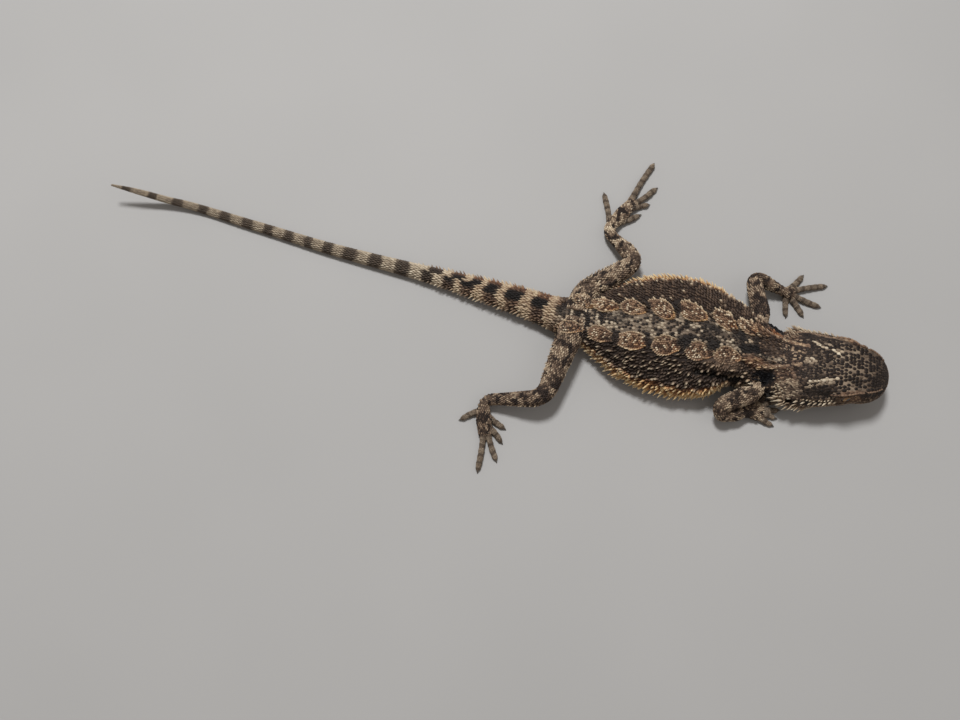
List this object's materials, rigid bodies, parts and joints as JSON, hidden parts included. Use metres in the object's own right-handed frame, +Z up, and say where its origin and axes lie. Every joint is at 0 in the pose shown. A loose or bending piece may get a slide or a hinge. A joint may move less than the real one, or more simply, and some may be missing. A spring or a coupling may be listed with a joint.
{
  "type": "central bearded dragon model",
  "caption": "Life-size still model of a juvenile central bearded dragon lying flat, with spiny flanks, beard, splayed legs and a long tapering tail.",
  "frame": {"origin": "on the floor under the middle of the trunk, in the flat belly", "axes": "+X along the body to the head, +Y to the animal's left, +Z up"},
  "size_m": [0.1917, 0.0869, 0.0118],
  "materials": {
    "head_skin": "dry scaly skin, grey-brown with a pale network",
    "back_skin": "dry scaly skin, dark brown with pale ringed patches",
    "tail_skin": "dry keeled skin in pale and dark rings",
    "limb_skin": "dry scaly skin, banded brown and grey",
    "claw": "dark horn",
    "eye": "wet, brown ring round a dark pupil"
  },
  "bodies": {
    "root": {"head": "head_skin", "eye_left": "eye", "eye_right": "eye", "neck": "back_skin", "torso": "back_skin", "tail_base": "tail_skin", "tail_middle": "tail_skin", "tail_end": "tail_skin", "upper_arm_left": "limb_skin", "forearm_left": "limb_skin", "hand_left": "limb_skin", "upper_arm_right": "limb_skin", "forearm_right": "limb_skin", "hand_right": "limb_skin", "thigh_left": "limb_skin", "shin_left": "limb_skin", "foot_left": "limb_skin", "thigh_right": "limb_skin", "shin_right": "limb_skin", "foot_right": "limb_skin"}
  },
  "joints": []
}
